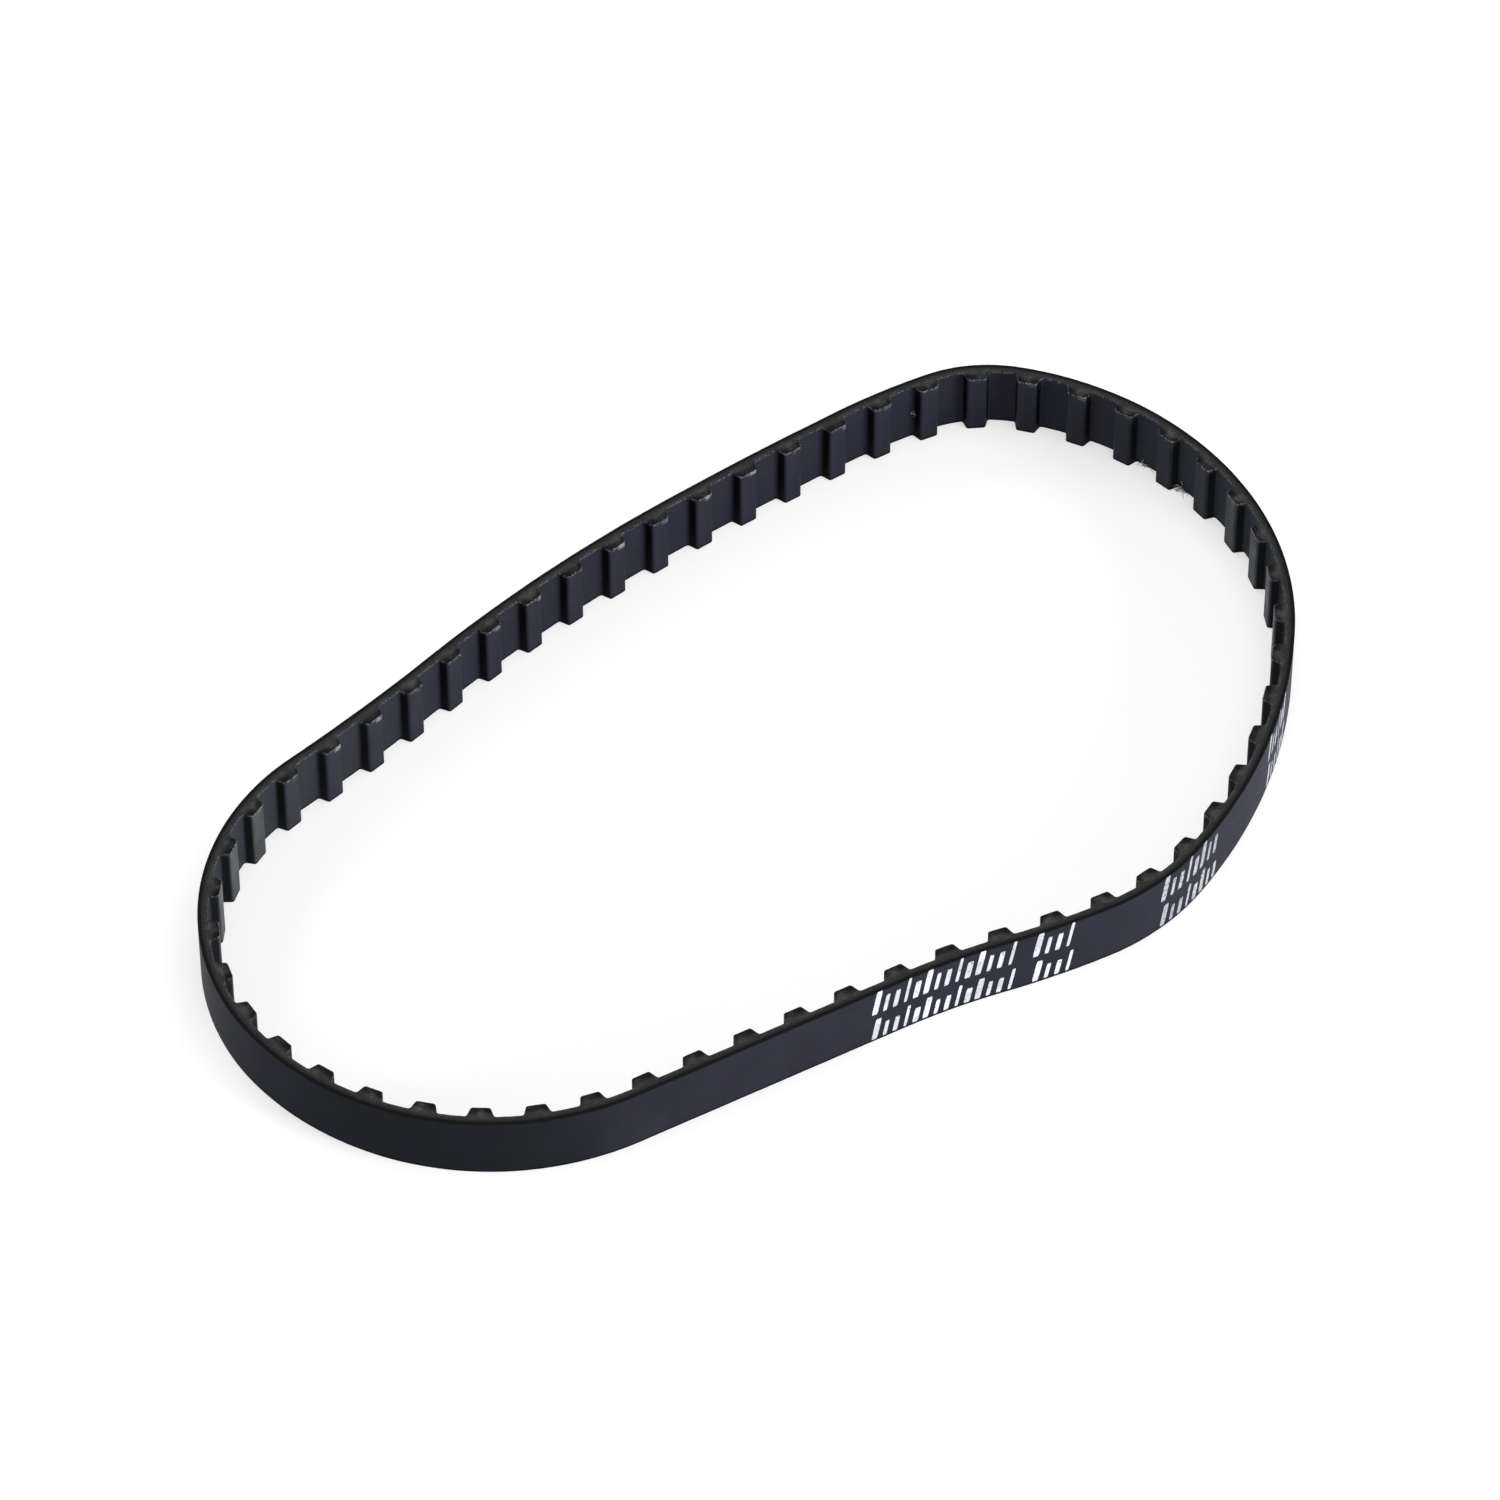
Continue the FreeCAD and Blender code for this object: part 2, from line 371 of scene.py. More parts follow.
def ground_rubber():
    """The belt's back: satin rubber ground along the belt, a little dusty, darker at its edges, with
    painted shadow along the bottom edge and painted shade along the stretch at the loop's left end.
    """
    paint = Paint("ground_rubber", Specular_IOR_Level=0.012)
    run, rise = paint.attribute("run"), paint.attribute("rise")
    along = paint.scale(paint.lap(run, rise), GRIND_STRETCH, GRIND_STRETCH, 1.0)
    grind = paint.noise(along, 0.16 * MM, 4)
    clouds = paint.noise(paint.place(), 9 * MM, 4, 0.6)
    tint = paint.noise(paint.place(), 5 * MM, 2)
    specks = paint.noise(paint.place(), 0.35 * MM, 3, 0.6)
    tinted = paint.fade(tint, 0.35, 0.65)
    cool = paint.mix(tinted, (0.0170, 0.0160, 0.0270), (0.0145, 0.0168, 0.0230))
    clouded = paint.fade(clouds, 0.3, 0.7, 0.0, 0.55)
    colour = paint.mix(clouded, cool, (0.0115, 0.0117, 0.0165))
    colour = paint.mix(paint.fade(specks, 0.55, 0.8, 0.0, 0.35), colour, (0.030, 0.031, 0.038))
    # Painted shade: the back is darkened along the stretch at the loop's left end
    shade_begins, shade_ends = paint.fade(run, SHADED_STRETCH_START, SHADED_STRETCH_FULL), paint.fade(run, SHADED_STRETCH_END, SHADED_STRETCH_FULL)
    left_end_shade = paint.both(shade_begins, shade_ends)
    colour = paint.mix(paint.both(left_end_shade, 0.5), colour, (0.003, 0.0060, 0.003))
    # Painted shadow: the bottom band is darkened where the belt meets the floor; the top band is
    # darker too
    low = paint.fade(rise, 0.8 * MM, 0.15 * MM, 0.0, 0.9)
    high = paint.fade(rise, WIDTH - 0.35 * MM, WIDTH, 0.0, 0.8)
    dark_edges_and_floor_shade = paint.math("MAXIMUM", low, high)
    paint.set("Base Color", paint.mix(dark_edges_and_floor_shade, colour, EDGE_BLACK))
    paint.set("Roughness", paint.fade(grind, 0.2, 0.8, 0.36, 0.52))
    fine = paint.bump(specks, 0.008 * MM)
    paint.set("Normal", paint.bump(grind, 0.012 * MM, fine))
    return paint.material


def cut_rubber():
    """The cut edges: a black skin at the back and the tooth tips, grey-green rubber between.

    A greyer line of smeared cord and cloth runs along the pitch line and into the teeth.
    """
    paint = Paint("cut_rubber", Roughness=0.9, Specular_IOR_Level=0.12)
    run, depth, heart = (paint.attribute(name) for name in ("run", "depth", "heart"))
    streaks = paint.noise(paint.scale(paint.lap(run, depth), 0.12, 0.12, 1.0), 0.18 * MM, 4, 0.6)
    patches = paint.noise(paint.place(), 2.5 * MM, 2)
    grain = paint.noise(paint.place(), 0.12 * MM, 4, 0.65)
    outer, inner = paint.fade(depth, 0.85 * MM, 0.45 * MM), paint.fade(depth, -1.3 * MM, -0.7 * MM)
    band = paint.both(outer, inner)
    colour = paint.mix(band, (0.003, 0.003, 0.003), (0.0225, 0.0240, 0.0235))
    below, above = paint.fade(depth, -0.8 * MM, -0.3 * MM), paint.fade(depth, 0.35 * MM, -0.1 * MM)
    near = paint.both(below, above)
    smear = paint.math("MAXIMUM", paint.both(near, 0.6), heart)
    smear = paint.both(smear, paint.fade(streaks, 0.32, 0.62, 0.35, 1.0))
    smear = paint.both(smear, paint.fade(patches, 0.38, 0.62, 0.25, 1.0))
    colour = paint.mix(smear, colour, (0.080, 0.081, 0.083))
    pits = paint.fade(grain, 0.35, 0.6, 0.75, 0.0)
    paint.set("Base Color", paint.mix(pits, colour, (0.002, 0.002, 0.002)))
    knife = paint.bump(streaks, 0.03 * MM)
    paint.set("Normal", paint.bump(grain, 0.03 * MM, knife))
    return paint.material


def woven_nylon():
    """The facing: a fine weave full of rubber, with painted shadow on the flanks, the crests' trailing
    corners and the foot, painted light at the loop's ends, painted highlights on the crests, and pale
    top rims that are partly wear and partly painted highlight.
    """
    paint = Paint("woven_nylon", Specular_IOR_Level=0.012)
    cloth, rise, lift, side = (paint.attribute(name) for name in ("cloth", "rise", "lift", "side"))
    across = paint.math("SINE", paint.math("MULTIPLY", cloth, math.pi * WEAVE_THREADS))
    upward = paint.math("SINE", paint.math("MULTIPLY", rise, math.pi / WEAVE_PITCH))
    weave = paint.both(across, upward)
    lumps = paint.noise(paint.place(), 0.5 * MM, 3)
    clouds = paint.noise(paint.place(), 7 * MM, 3, 0.6)
    teeth = paint.noise(paint.place(), 4 * MM, 2)
    clouded = paint.fade(clouds, 0.35, 0.65)
    colour = paint.mix(clouded, (0.0155, 0.0162, 0.0285), (0.0180, 0.0184, 0.0245))
    x = paint.along_x()
    outward = paint.math("ABSOLUTE", x)
    # Painted light: the facing is lighter towards both ends of the loop
    lit_ends = paint.fade(outward, LIT_ENDS_START, LIT_ENDS_FULL)
    colour = paint.mix(lit_ends, colour, (0.0252, 0.0277, 0.0350))
    # Painted shadow: the flanks are near black, a little less so at the loop's ends
    flank = paint.both(paint.fade(lift, 0.08, 0.28), paint.fade(lift, 0.92, 0.70))
    black = paint.both(flank, paint.fade(lit_ends, 0.0, 1.0, 0.92, 0.72))
    colour = paint.mix(black, colour, SHADOW_BLACK)
    # Painted highlight: the crests are lighter on the half next to their first flank
    crest = paint.both(paint.fade(lift, 0.9, 1.0), paint.fade(side, 0.4, -0.8, 0.0, 0.5))
    colour = paint.mix(crest, colour, (0.022, 0.0225, 0.034))
    # Painted highlight: the crests near the loop's ends are pale grey
    crest_highlight_ends = paint.fade(outward, CREST_HIGHLIGHT_START, CREST_HIGHLIGHT_FULL, 0.0, 0.8)
    grey = paint.both(paint.fade(lift, 0.8, 0.97), crest_highlight_ends)
    grey = paint.both(grey, paint.fade(teeth, 0.3, 0.6, 0.5, 1.0))
    colour = paint.mix(grey, colour, (0.085, 0.088, 0.087))
    # Painted shade: the crests' corners next to their second flank are darkened
    trailing_shade = paint.both(paint.fade(lift, 0.9, 1.0), paint.fade(side, 0.75, 1.1, 0.0, 0.7))
    colour = paint.mix(trailing_shade, colour, SHADOW_BLACK)
    # Painted shadow: the bottom of the facing is darkened where it meets the floor
    foot_shadow = paint.fade(rise, 0.8 * MM, 0.1 * MM, 0.0, 0.9)
    colour = paint.mix(foot_shadow, colour, EDGE_BLACK)
    # Partly wear and partly painted highlight: the top rims and the crests' upper corners are pale
    top_edge = paint.fade(rise, WIDTH - 0.6 * MM, WIDTH - 0.1 * MM)
    rim = paint.both(top_edge, paint.fade(lumps, 0.40, 0.62))
    wear_and_highlight = paint.both(rim, paint.fade(lift, 0.55, 1.0, 0.32, 0.5))
    near_top = paint.fade(rise, WIDTH - 1.3 * MM, WIDTH - 0.5 * MM)
    corner = paint.both(near_top, paint.fade(side, -0.1, 0.35))
    corner = paint.both(corner, paint.both(paint.fade(lift, 0.85, 1.0), paint.fade(teeth, 0.45, 0.6)))
    corner = paint.both(corner, paint.fade(x, PLAIN_CORNERS_FROM, PALE_CORNERS_UP_TO, 0.2, 0.9))
    wear_and_highlight = paint.math("MAXIMUM", wear_and_highlight, corner)
    colour = paint.mix(wear_and_highlight, colour, (0.20, 0.20, 0.215))
    shade = paint.fade(weave, -0.6, 0.6, 0.65, 1.05)
    dark = paint.node("MixRGB", {"Fac": 1.0, "Color1": colour}, {"blend_type": "MULTIPLY"})
    grey_shade = paint.node("CombineXYZ", {"X": shade, "Y": shade, "Z": shade}).outputs[0]
    paint.feed(dark.inputs["Color2"], grey_shade)
    paint.set("Base Color", dark.outputs[0])
    paint.set("Roughness", paint.fade(clouds, 0.25, 0.75, 0.36, 0.48))
    rough = paint.bump(lumps, 0.02 * MM)
    paint.set("Normal", paint.bump(weave, 0.015 * MM, rough))
    return paint.material


def twisted_glass():
    """The tensile cords: twisted glass strands in a rubbery dip."""
    paint = Paint("twisted_glass", Roughness=0.45)
    strands = paint.node(
        "TexWave",
        {"Vector": paint.place(), "Scale": 0.5 / MM, "Distortion": 2.5, "Detail": 2.0},
        {"wave_type": "BANDS", "bands_direction": "DIAGONAL"},
    ).outputs["Fac"]
    dip = paint.noise(paint.place(), 2 * MM, 3)
    colour = paint.mix(strands, (0.30, 0.28, 0.20), (0.72, 0.70, 0.60))
    dipped = paint.fade(dip, 0.5, 0.7, 0.0, 0.5)
    paint.set("Base Color", paint.mix(dipped, colour, (0.25, 0.13, 0.06)))
    paint.set("Normal", paint.bump(strands, 0.02 * MM))
    return paint.material


def worn_ink():
    """The printed marks: white ink that has rubbed off here and there, and more so at one end."""
    paint = Paint("worn_ink", Roughness=0.55)
    flakes = paint.noise(paint.place(), 0.5 * MM, 5, 0.7)
    tint = paint.noise(paint.place(), 6 * MM, 2)
    white = paint.mix(paint.fade(tint, 0.35, 0.65), (0.34, 0.36, 0.39), (0.50, 0.51, 0.53))
    faded = paint.fade(paint.along_x(), FADED_START, FADED_FULL)
    white = paint.mix(paint.both(faded, 0.6), white, (0.10, 0.12, 0.15))
    bare = paint.math("ADD", flakes, paint.both(faded, 0.05))
    paint.set("Base Color", paint.mix(paint.fade(bare, 0.56, 0.66), white, (0.04, 0.04, 0.05)))
    paint.set("Normal", paint.bump(flakes, 0.01 * MM))
    return paint.material


def pale_fibre():
    """Loose threads of the facing and cords where the edge has frayed."""
    paint = Paint("pale_fibre", Roughness=0.5)
    shade = paint.noise(paint.place(), 0.8 * MM, 2)
    mottled = paint.fade(shade, 0.35, 0.65)
    paint.set("Base Color", paint.mix(mottled, (0.10, 0.105, 0.10), (0.60, 0.61, 0.58)))
    return paint.material


# ---- the backing ----

BACK_EDGE_RADIUS = 0.10 * MM
BACK_STATIONS = TOOTH_COUNT * 12


def backing_section():
    """(offset, rise) points round the backing, from its top outer edge down the back and up inside."""
    radius = BACK_EDGE_RADIUS
    inner = FACING - LAND_DEPTH
    shoulder = BACK - radius
    top = arc_points((shoulder, WIDTH - radius), radius, 90, 0, 4)
    back = [(BACK, rise) for rise in np.linspace(WIDTH - 0.6 * MM, 0.6 * MM, 9)]
    bottom = arc_points((shoulder, radius), radius, 0, -90, 4)
    edge = list(np.linspace(shoulder, inner, 5)[1:])
    inside = []
    for turn in range(CORD_TURNS):
        height = WIDTH / 2 + (turn - (CORD_TURNS - 1) / 2) * CORD_SPACING
        bed = arc_points((0.0, height), CORD_RADIUS, -90, 90, 5)
        inside += [(inner, height - CORD_RADIUS), *bed, (inner, height + CORD_RADIUS)]
    section = top + back + bottom + [(offset, 0.0) for offset in edge]
    section += inside + [(offset, WIDTH) for offset in edge[::-1]]
    return np.array(section)


def make_backing():
    runs = np.arange(BACK_STATIONS) / BACK_STATIONS * LOOP_LENGTH
    section = backing_section()
    columns = len(section)
    run, offset = np.meshgrid(runs, section[:, 0], indexing="ij")
    rise = np.broadcast_to(section[:, 1], run.shape)
    plan = LOOP.point(run, offset)
    points = plan_points(plan, cut_rise(run, rise))
    ahead = np.roll(section, -1, axis=0)
    middle = (section + ahead) / 2
    beyond = np.minimum(middle[:, 1], WIDTH - middle[:, 1]) < BACK_EDGE_RADIUS * 0.9
    piece = new_object(
        "rubber_back", points, lap_faces(BACK_STATIONS, columns),
        [ground_rubber(), CUT_RUBBER], np.tile(beyond, BACK_STATIONS),
    )
    store(piece, "run", lap_runs(runs, columns, LOOP_LENGTH), "CORNER")
    store(piece, "rise", rise)
    store(piece, "depth", offset)
    return piece


# ---- the toothed side ----

ROUND_STEPS = 4
FLANK_STEPS = 2
CREST_STEPS = 4
LAND_STEPS = 6


def corner_arc(corner, before, after, radius):
    """The arc that rounds a corner between two directions."""
    turn = -np.angle(after / before)
    reach = radius * math.tan(abs(turn) / 2)
    return corner - before * reach, before, radius * abs(turn), turn


def arc_places(arc):
    """Places and directions along an arc."""
    place, forward, length, turn = arc
    return along_arc(place, forward, length, turn, np.linspace(0, length, ROUND_STEPS + 1))


class Tooth:
    """Points up one flank of a tooth, over its crest and down the other, on the facing's surface.

    plan holds the points in plan, out their directions away from the rubber, and run the points'
    places along the pitch line.
    """

    def __init__(self, number):
        centre = FIRST_TOOTH + number * TOOTH_PITCH
        place, along = LOOP.station(centre)
        inward = -1j * along
        half_tip = TOOTH_ROOT_WIDTH / 2 - TOOTH_HEIGHT * math.tan(FLANK_ANGLE)
        ends = centre + TOOTH_ROOT_WIDTH / 2 * np.array([-1, 1])
        roots = LOOP.point(ends, -LAND_DEPTH)
        arriving, leaving = LOOP.station(ends)[1]
        crest = place + inward * (LAND_DEPTH + TOOTH_HEIGHT)
        tips = crest + along * half_tip * np.array([-1, 1])
        climb = (tips[0] - roots[0]) / abs(tips[0] - roots[0])
        fall = (roots[1] - tips[1]) / abs(roots[1] - tips[1])

        first = corner_arc(roots[0], arriving, climb, ROOT_RADIUS)
        last = corner_arc(roots[1], fall, leaving, ROOT_RADIUS)
        self.start = ends[0] - abs(roots[0] - first[0])
        self.finish = ends[1] + abs(last[0] - roots[1])
        first_tip = corner_arc(tips[0], climb, along, TIP_RADIUS)
        last_tip = corner_arc(tips[1], along, fall, TIP_RADIUS)
        up = self.joined(arc_places(first), arc_places(first_tip), FLANK_STEPS)
        down = self.joined(arc_places(last_tip), arc_places(last), FLANK_STEPS)
        plan, forward = self.joined(up, down, CREST_STEPS)
        self.side = len(up[0])
        self.plan = plan
        self.out = -1j * forward
        self.run = centre + dot(along, plan - place)
        self.lift = np.clip((dot(inward, plan - place) - LAND_DEPTH) / TOOTH_HEIGHT, 0, 1)
        self.side_share = dot(along, plan - place) / half_tip

    @staticmethod
    def joined(before, after, steps):
        """Two rows of (places, directions) with a straight stretch of some steps between them."""
        share = np.linspace(0, 1, steps + 1)[1:-1]
        between = before[0][-1] + (after[0][0] - before[0][-1]) * share
        facing = np.full(len(share), before[1][-1])
        return (
            np.concatenate([before[0], between, after[0]]),
            np.concatenate([before[1], facing, after[1]]),
        )


TEETH = [Tooth(number) for number in range(TOOTH_COUNT)]


def land(start, finish):
    """The inner points of the land between two teeth."""
    run = np.linspace(start, finish, LAND_STEPS + 1)[1:-1]
    return run, LOOP.point(run, -LAND_DEPTH), -1j * LOOP.station(run)[1]


def make_facing():
    """The woven skin, swept along the toothed outline."""
    run, plan, out, lift, side = [], [], [], [], []
    for tooth, following in zip(TEETH, TEETH[1:] + TEETH[:1]):
        finish = following.start + (LOOP_LENGTH if following is TEETH[0] else 0)
        land_run, land_plan, land_out = land(tooth.finish, finish)
        run += [tooth.run, land_run]
        plan += [tooth.plan, land_plan]
        out += [tooth.out, land_out]
        lift += [tooth.lift, np.zeros(len(land_run))]
        side += [tooth.side_share, np.zeros(len(land_run))]
    run, plan, out, lift, side = map(np.concatenate, (run, plan, out, lift, side))
    cloth = np.concatenate(([0.0], np.cumsum(abs(np.diff(plan)))))
    total = cloth[-1] + abs(plan[0] - plan[-1])

    radius = FACING * 0.45
    section = arc_points((radius, radius), radius, 270, 180, 3)
    section += [(0.0, rise) for rise in np.linspace(0.5 * MM, WIDTH - 0.5 * MM, 8)]
    section += arc_points((radius, WIDTH - radius), radius, 180, 90, 3)
    section = np.array(section + [(FACING, WIDTH), (FACING, 0.0)])
    rows, columns = len(plan), len(section)
    inset, rise = (np.broadcast_to(side, (rows, columns)) for side in section.T)
    wide_run = np.broadcast_to(run[:, None], (rows, columns))
    points = plan_points(plan[:, None] - out[:, None] * inset, cut_rise(wide_run, rise))
    piece = new_object("nylon_facing", points, lap_faces(rows, columns), [woven_nylon()])
    store(piece, "cloth", lap_runs(cloth / total, columns, 1.0), "CORNER")
    store(piece, "rise", rise)
    store(piece, "lift", np.broadcast_to(lift[:, None], (rows, columns)))
    store(piece, "side", np.broadcast_to(side[:, None], (rows, columns)))
    return piece


END_RELIEF = 0.03 * MM


def make_tooth_core(number):
    """A tooth's rubber under the facing, with roughly cut ends."""
    tooth = TEETH[number]
    bonded = tooth.plan - tooth.out * FACING
    side = tooth.side
    left, crest, right = bonded[:side], bonded[side - 1 : -side + 1], bonded[::-1][:side]
    share = np.linspace(0, 1, len(crest))
    plan = left[:, None] + (right - left)[:, None] * share
    root = tooth.start + (tooth.finish - tooth.start) * share
    plan[0] = LOOP.point(root, FACING - LAND_DEPTH)
    centre = FIRST_TOOTH + number * TOOTH_PITCH
    place, along = LOOP.station(centre)
    run = centre + dot(along, plan - place)
    rng = np.random.default_rng(number)
    relief = np.zeros((2, *plan.shape))
    relief[:, 1:-1, 1:-1] = rng.uniform(0, END_RELIEF, (2, side - 2, len(crest) - 2))
    top = plan_points(plan, cut_rise(run, WIDTH) - relief[0])
    bottom = plan_points(plan, cut_rise(run, 0.0) + relief[1])
    points, faces = slab(top, bottom)
    piece = new_object(f"tooth_core_{number + 1:02d}", points, faces, [CUT_RUBBER])
    depth = -dot(-1j * along, plan - place)
    store(piece, "run", np.tile(run.ravel(), 2))
    store(piece, "depth", np.tile(depth.ravel(), 2))
    up = np.linspace(-0.1, 1, side)[:, None]
    heart = np.clip(1.5 - 3 * np.hypot(up - 0.25, (share - 0.6) * 1.1), 0, 1)
    store(piece, "heart", np.tile(heart.ravel(), 2))
    return piece


# ---- printed marks ----

INK_THICKNESS = 0.02 * MM
INK_LEAN = 0.18
# Groups of plain bars: run at the first bar, and the number of bars
INK_GROUPS = [(355.0 * MM, 14), (325.0 * MM, 4), (300.5 * MM, 8), (264.5 * MM, 6)]
INK_PITCH = 1.95 * MM
# The bars in turn: width, and share of the row's height
INK_BARS = [(1.1 * MM, 1.0), (0.75 * MM, 0.7), (0.9 * MM, 0.7), (0.6 * MM, 1.0), (1.1 * MM, 0.7)]
# Lowest and highest rise of each row
INK_ROWS = {"lower": (0.6 * MM, 5.5 * MM), "upper": (7.0 * MM, WIDTH - BACK_EDGE_RADIUS)}


def ink_bar(run, width, low, high):
    """One leaning bar of ink on the back."""
    across = np.linspace(-1, 1, 5)
    upward = np.linspace(0, 1, 9)
    up, side = np.meshgrid(upward, across, indexing="ij")
    ends = np.sqrt(1 - 0.35 * (2 * up - 1) ** 8)
    rise = low + (high - low) * up
    runs = run + side * width / 2 * ends - (rise - low) * INK_LEAN
    rim = (abs(side) == 1) | (up == 0) | (up == 1)
    face = LOOP.point(runs, BACK + np.where(rim, INK_THICKNESS / 4, INK_THICKNESS))
    rear = LOOP.point(runs, BACK - INK_THICKNESS)
    return slab(plan_points(face, rise), plan_points(rear, rise))


def make_ink(group, start, count, row, low, high):
    bars = []
    for i in range(count):
        width, share = INK_BARS[i % len(INK_BARS)]
        bars.append(ink_bar(start - i * INK_PITCH, width, low, low + (high - low) * share))
    return new_object(f"ink_bars_{group}_{row}", *joined(bars), [INK])


# ---- frayed fibres ----

FIBRE_RADIUS = 0.055 * MM
FIBRE_REST = FIBRE_RADIUS * 2.5
FIBRE_POINTS = 9
CURL_RADIUS = 0.45 * MM
# Tufts on the facing: run, rise, number of fibres and their length. The last is a small nick.
TUFTS = [
    (182.2 * MM, 0.0, 26, 1.2 * MM),
    (190.8 * MM, 0.0, 34, 1.9 * MM),
    (138.1 * MM, 6.0 * MM, 60, 0.8 * MM),
]
TUFT_SPREAD = 0.7 * MM
NICK_SPREAD = 0.3 * MM


def add_fibre(curve, root, reach, curl_radius, rng):
    """A thin thread that curls away from its root."""
    share = np.linspace(0, 1, FIBRE_POINTS)[:, None]
    phase, turn = rng.uniform(0, 2 * math.pi), rng.uniform(1.5, 4.5)
    first, second = rng.normal(0, 1, (2, 3)) * curl_radius * rng.uniform(0.3, 1.0)
    angle = phase + turn * share
    curl = first * (np.cos(angle) - math.cos(phase)) + second * (np.sin(angle) - math.sin(phase))
    path = root + reach * share + curl
    path[:, 2] = np.clip(path[:, 2], FIBRE_REST, WIDTH)
    spline = curve.splines.new("NURBS")
    spline.points.add(len(path) - 1)
    thickness = rng.uniform(0.7, 2.0)
    for point, place, thin in zip(spline.points, path, 1 - 0.6 * share[:, 0]):
        point.co = (*place, 1.0)
        point.radius = thickness * thin
    spline.order_u = 4
    spline.use_endpoint_u = True


def make_tuft(name, run, rise, count, length, seed):
    """Threads that stick out of the facing, at its cut edge or in the middle of a land."""
    rng = np.random.default_rng(seed)
    at_edge = rise == 0
    spread, curl = (TUFT_SPREAD, CURL_RADIUS) if at_edge else (NICK_SPREAD, CURL_RADIUS / 3)
    curve = bpy.data.curves.new(name, "CURVE")
    curve.dimensions = "3D"
    curve.bevel_depth = FIBRE_RADIUS
    curve.bevel_resolution = 1
    curve.use_fill_caps = True
    for _ in range(count):
        at = run + rng.normal(0, 1) * spread
        forward = LOOP.station(at)[1]
        root = LOOP.point(at, -LAND_DEPTH)
        height = FIBRE_REST if at_edge else rise + rng.normal(0, 1) * spread
        away = -1j * forward * rng.uniform(0.3, 1.0) + forward * rng.normal(0, 0.4)
        lift = rng.uniform(0.0, 0.4)
        reach = np.array([away.real, away.imag, lift]) * length * rng.uniform(0.3, 1.0)
        add_fibre(curve, np.array([root.real, root.imag, height]), reach, curl, rng)
    drawn = bpy.data.objects.new(name, curve)
    bpy.context.scene.collection.objects.link(drawn)
    mesh = bpy.data.meshes.new_from_object(drawn)
    bpy.data.objects.remove(drawn)
    mesh.materials.clear()
    mesh.materials.append(FIBRE)
    mesh.shade_smooth()
    piece = bpy.data.objects.new(name, mesh)
    bpy.context.scene.collection.objects.link(piece)
    return piece


# ---- the pieces on the frame ----

CUT_RUBBER = cut_rubber()
INK = worn_ink()
FIBRE = pale_fibre()


def place(piece, slot=None, node=None):
    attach(piece, BODY)
    if node:
        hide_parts(node)


def build_belt():
    place(make_backing(), "backing_rubber", "backing")
    place(make_facing(), "nylon_facing", "tooth_facing")
    for number in range(TOOTH_COUNT):
        place(make_tooth_core(number), "tooth_rubber", f"tooth_{number + 1:02d}")
    glass = twisted_glass()
    for lay in ("left", "right"):
        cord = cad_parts[f"tensile_cord_{lay}_lay"]
        cord.data.materials.clear()
        cord.data.materials.append(glass)
    for group, (start, count) in enumerate(INK_GROUPS, start=1):
        for row, (low, high) in INK_ROWS.items():
            place(make_ink(group, start, count, row, low, high))
    for number, (run, rise, count, length) in enumerate(TUFTS, start=1):
        place(make_tuft(f"frayed_fibres_{number}", run, rise, count, length, number))


# ---- stage, light and camera ----

FLOOR_RADIUS = 2.6
FLOOR_RINGS = (0.3, 1.0, 1.8)
FLOOR_SPOKES = 96
COVE_RADIUS = 1.0
COVE_POINTS = 13
WALL_TOP = 1.6
FLOOR_GLOW = 0.54
CAMERA_PLACE = Vector((-0.67, -1000.1, 1171.6)) * MM
CAMERA_TARGET = Vector((-0.67, 6.55, 0.0)) * MM
CAMERA_LENS = 216.05


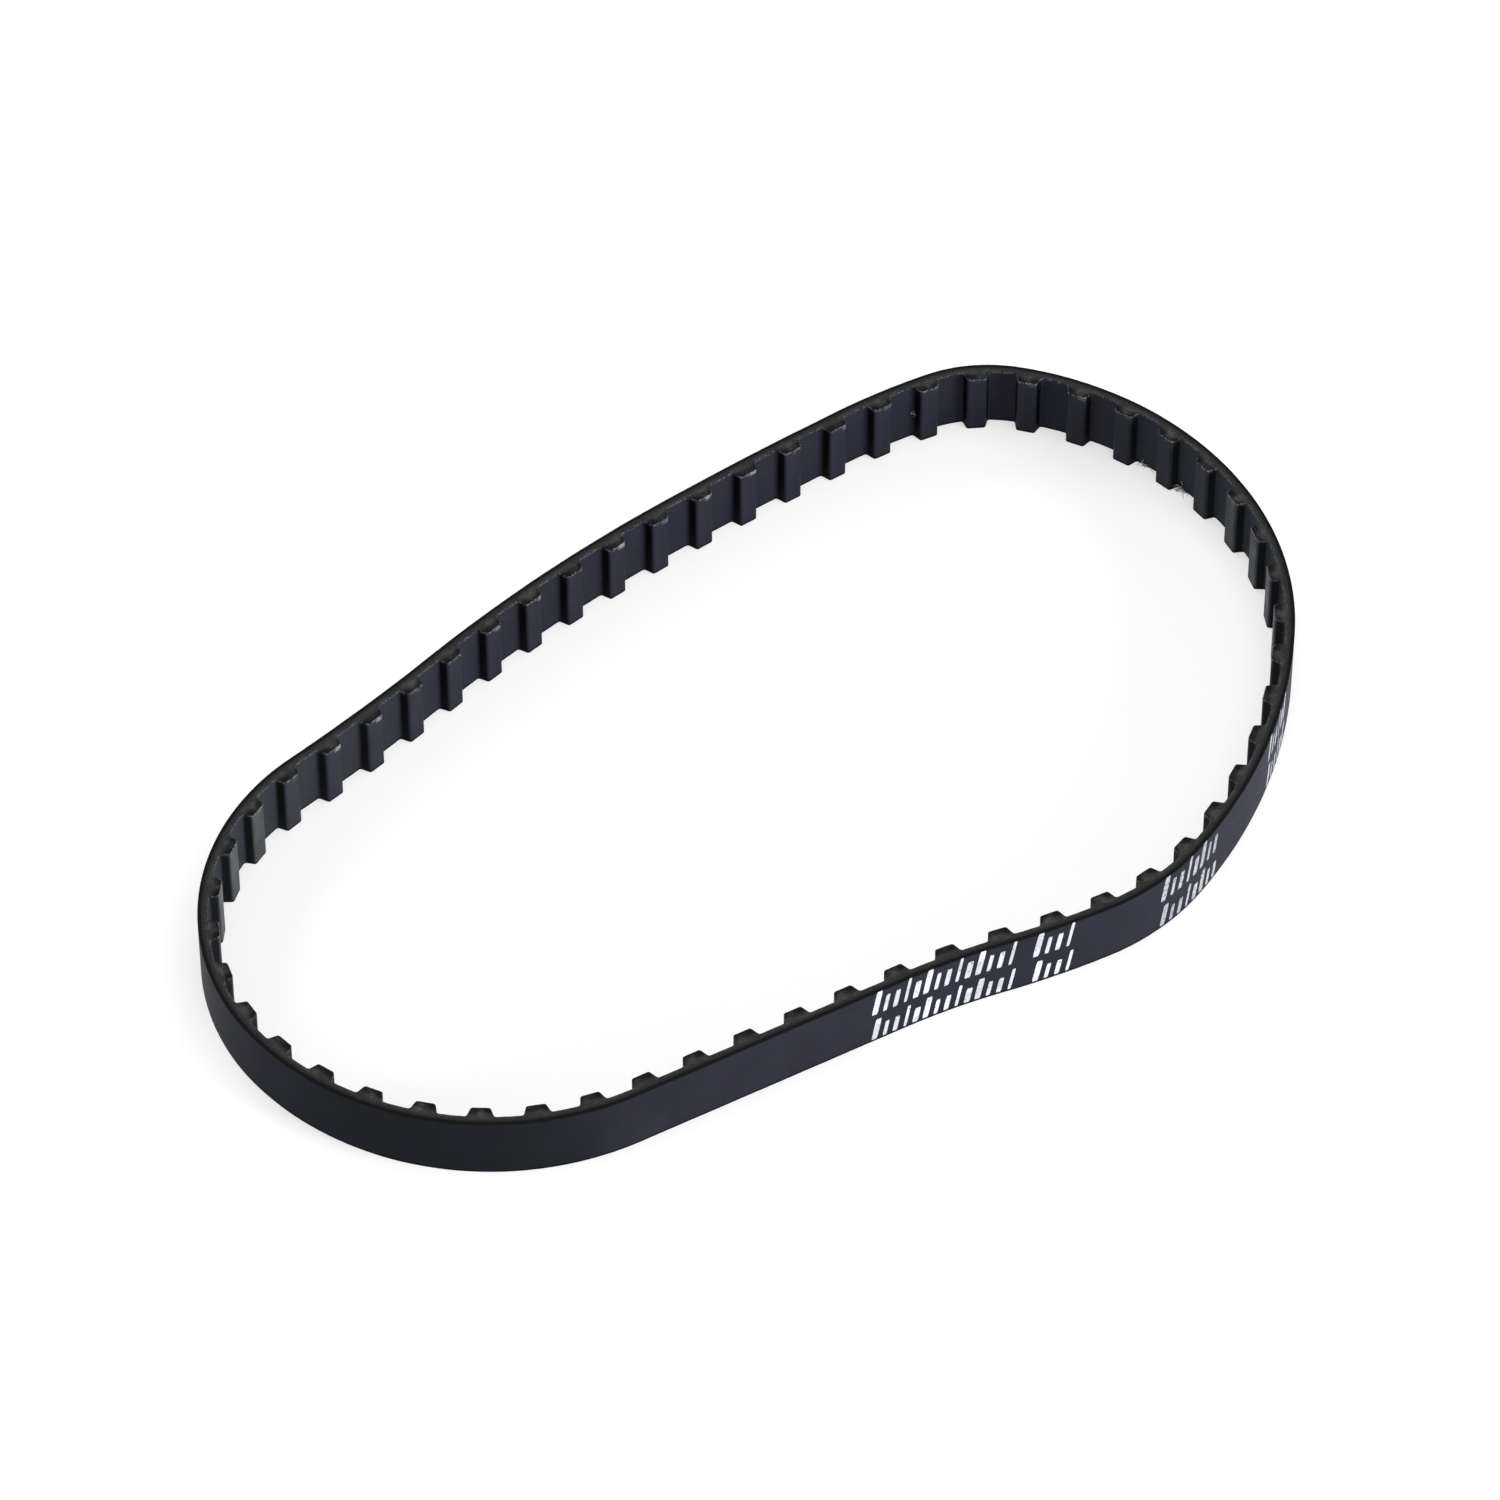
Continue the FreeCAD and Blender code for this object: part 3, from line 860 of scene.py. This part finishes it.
def build_floor():
    """A round pale floor that curves up into a low wall all round, as in a photographer's cove."""
    paint = Paint("pale_floor", Roughness=0.6, Emission_Strength=FLOOR_GLOW)
    mottle = paint.noise(paint.place(), 120 * MM, 3)
    paint.set("Base Color", paint.mix(mottle, (0.48, 0.48, 0.48), (0.52, 0.52, 0.52)))
    paint.set("Emission Color", (1.0, 1.0, 1.0, 1.0))
    profile = [(radius, 0.0) for radius in FLOOR_RINGS]
    profile += arc_points((FLOOR_RADIUS, COVE_RADIUS), COVE_RADIUS, -90, 0, COVE_POINTS)
    profile.append((FLOOR_RADIUS + COVE_RADIUS, WALL_TOP))
    radius, rise = np.array(profile).T
    spokes = np.exp(1j * np.linspace(0, 2 * math.pi, FLOOR_SPOKES, endpoint=False))
    rings = plan_points(np.outer(spokes, radius), rise)
    rows, columns = rings.shape[:2]
    # Turned to face up, and without the quads that would join the wall's top to the first ring
    quads = lap_faces(rows, columns).reshape(rows, columns, 4)[:, :-1, ::-1].reshape(-1, 4)
    points = np.concatenate([rings.reshape(-1, 3), [[0.0, 0.0, 0.0]]])
    middle = [[rows * columns, i * columns, (i + 1) % rows * columns] for i in range(rows)]
    mesh = bpy.data.meshes.new("floor")
    mesh.from_pydata(points.tolist(), [], quads.tolist() + middle)
    mesh.materials.append(paint.material)
    mesh.shade_smooth()
    floor = bpy.data.objects.new("floor", mesh)
    bpy.context.scene.collection.objects.link(floor)


def add_light(name, place, size, power, colour=(1.0, 1.0, 1.0)):
    """A square softbox that faces the belt."""
    light = bpy.data.lights.new(name, "AREA")
    light.size = size
    light.energy = power
    light.color = colour
    lamp = bpy.data.objects.new(name, light)
    lamp.location = place
    lamp.rotation_euler = (-Vector(place)).to_track_quat("-Z", "Y").to_euler()
    bpy.context.scene.collection.objects.link(lamp)


def build_studio():
    world = bpy.data.worlds.new("studio")
    world.use_nodes = True
    background = world.node_tree.nodes["Background"]
    background.inputs["Color"].default_value = (0.93, 0.96, 1.0, 1.0)
    background.inputs["Strength"].default_value = 0.2
    bpy.context.scene.world = world
    bpy.context.scene.view_settings.view_transform = "Standard"
    add_light("key", (1.16, -0.52, 0.27), 0.5, 28.0)
    add_light("overhead", (0.3, -0.2, 1.6), 1.2, 11.0)
    add_light("fill", (-1.1, -0.3, 0.45), 0.8, 5.0)
    add_light("rear", (-0.8, 0.9, 0.55), 0.8, 9.0)


def build_camera():
    data = bpy.data.cameras.new("camera")
    data.lens = CAMERA_LENS
    data.sensor_width = 36.0
    data.clip_end = 20.0
    camera = bpy.data.objects.new("camera", data)
    camera.location = CAMERA_PLACE
    camera.rotation_euler = (CAMERA_TARGET - CAMERA_PLACE).to_track_quat("-Z", "Y").to_euler()
    bpy.context.scene.collection.objects.link(camera)
    bpy.context.scene.camera = camera


build_belt()
build_floor()
build_studio()
build_camera()
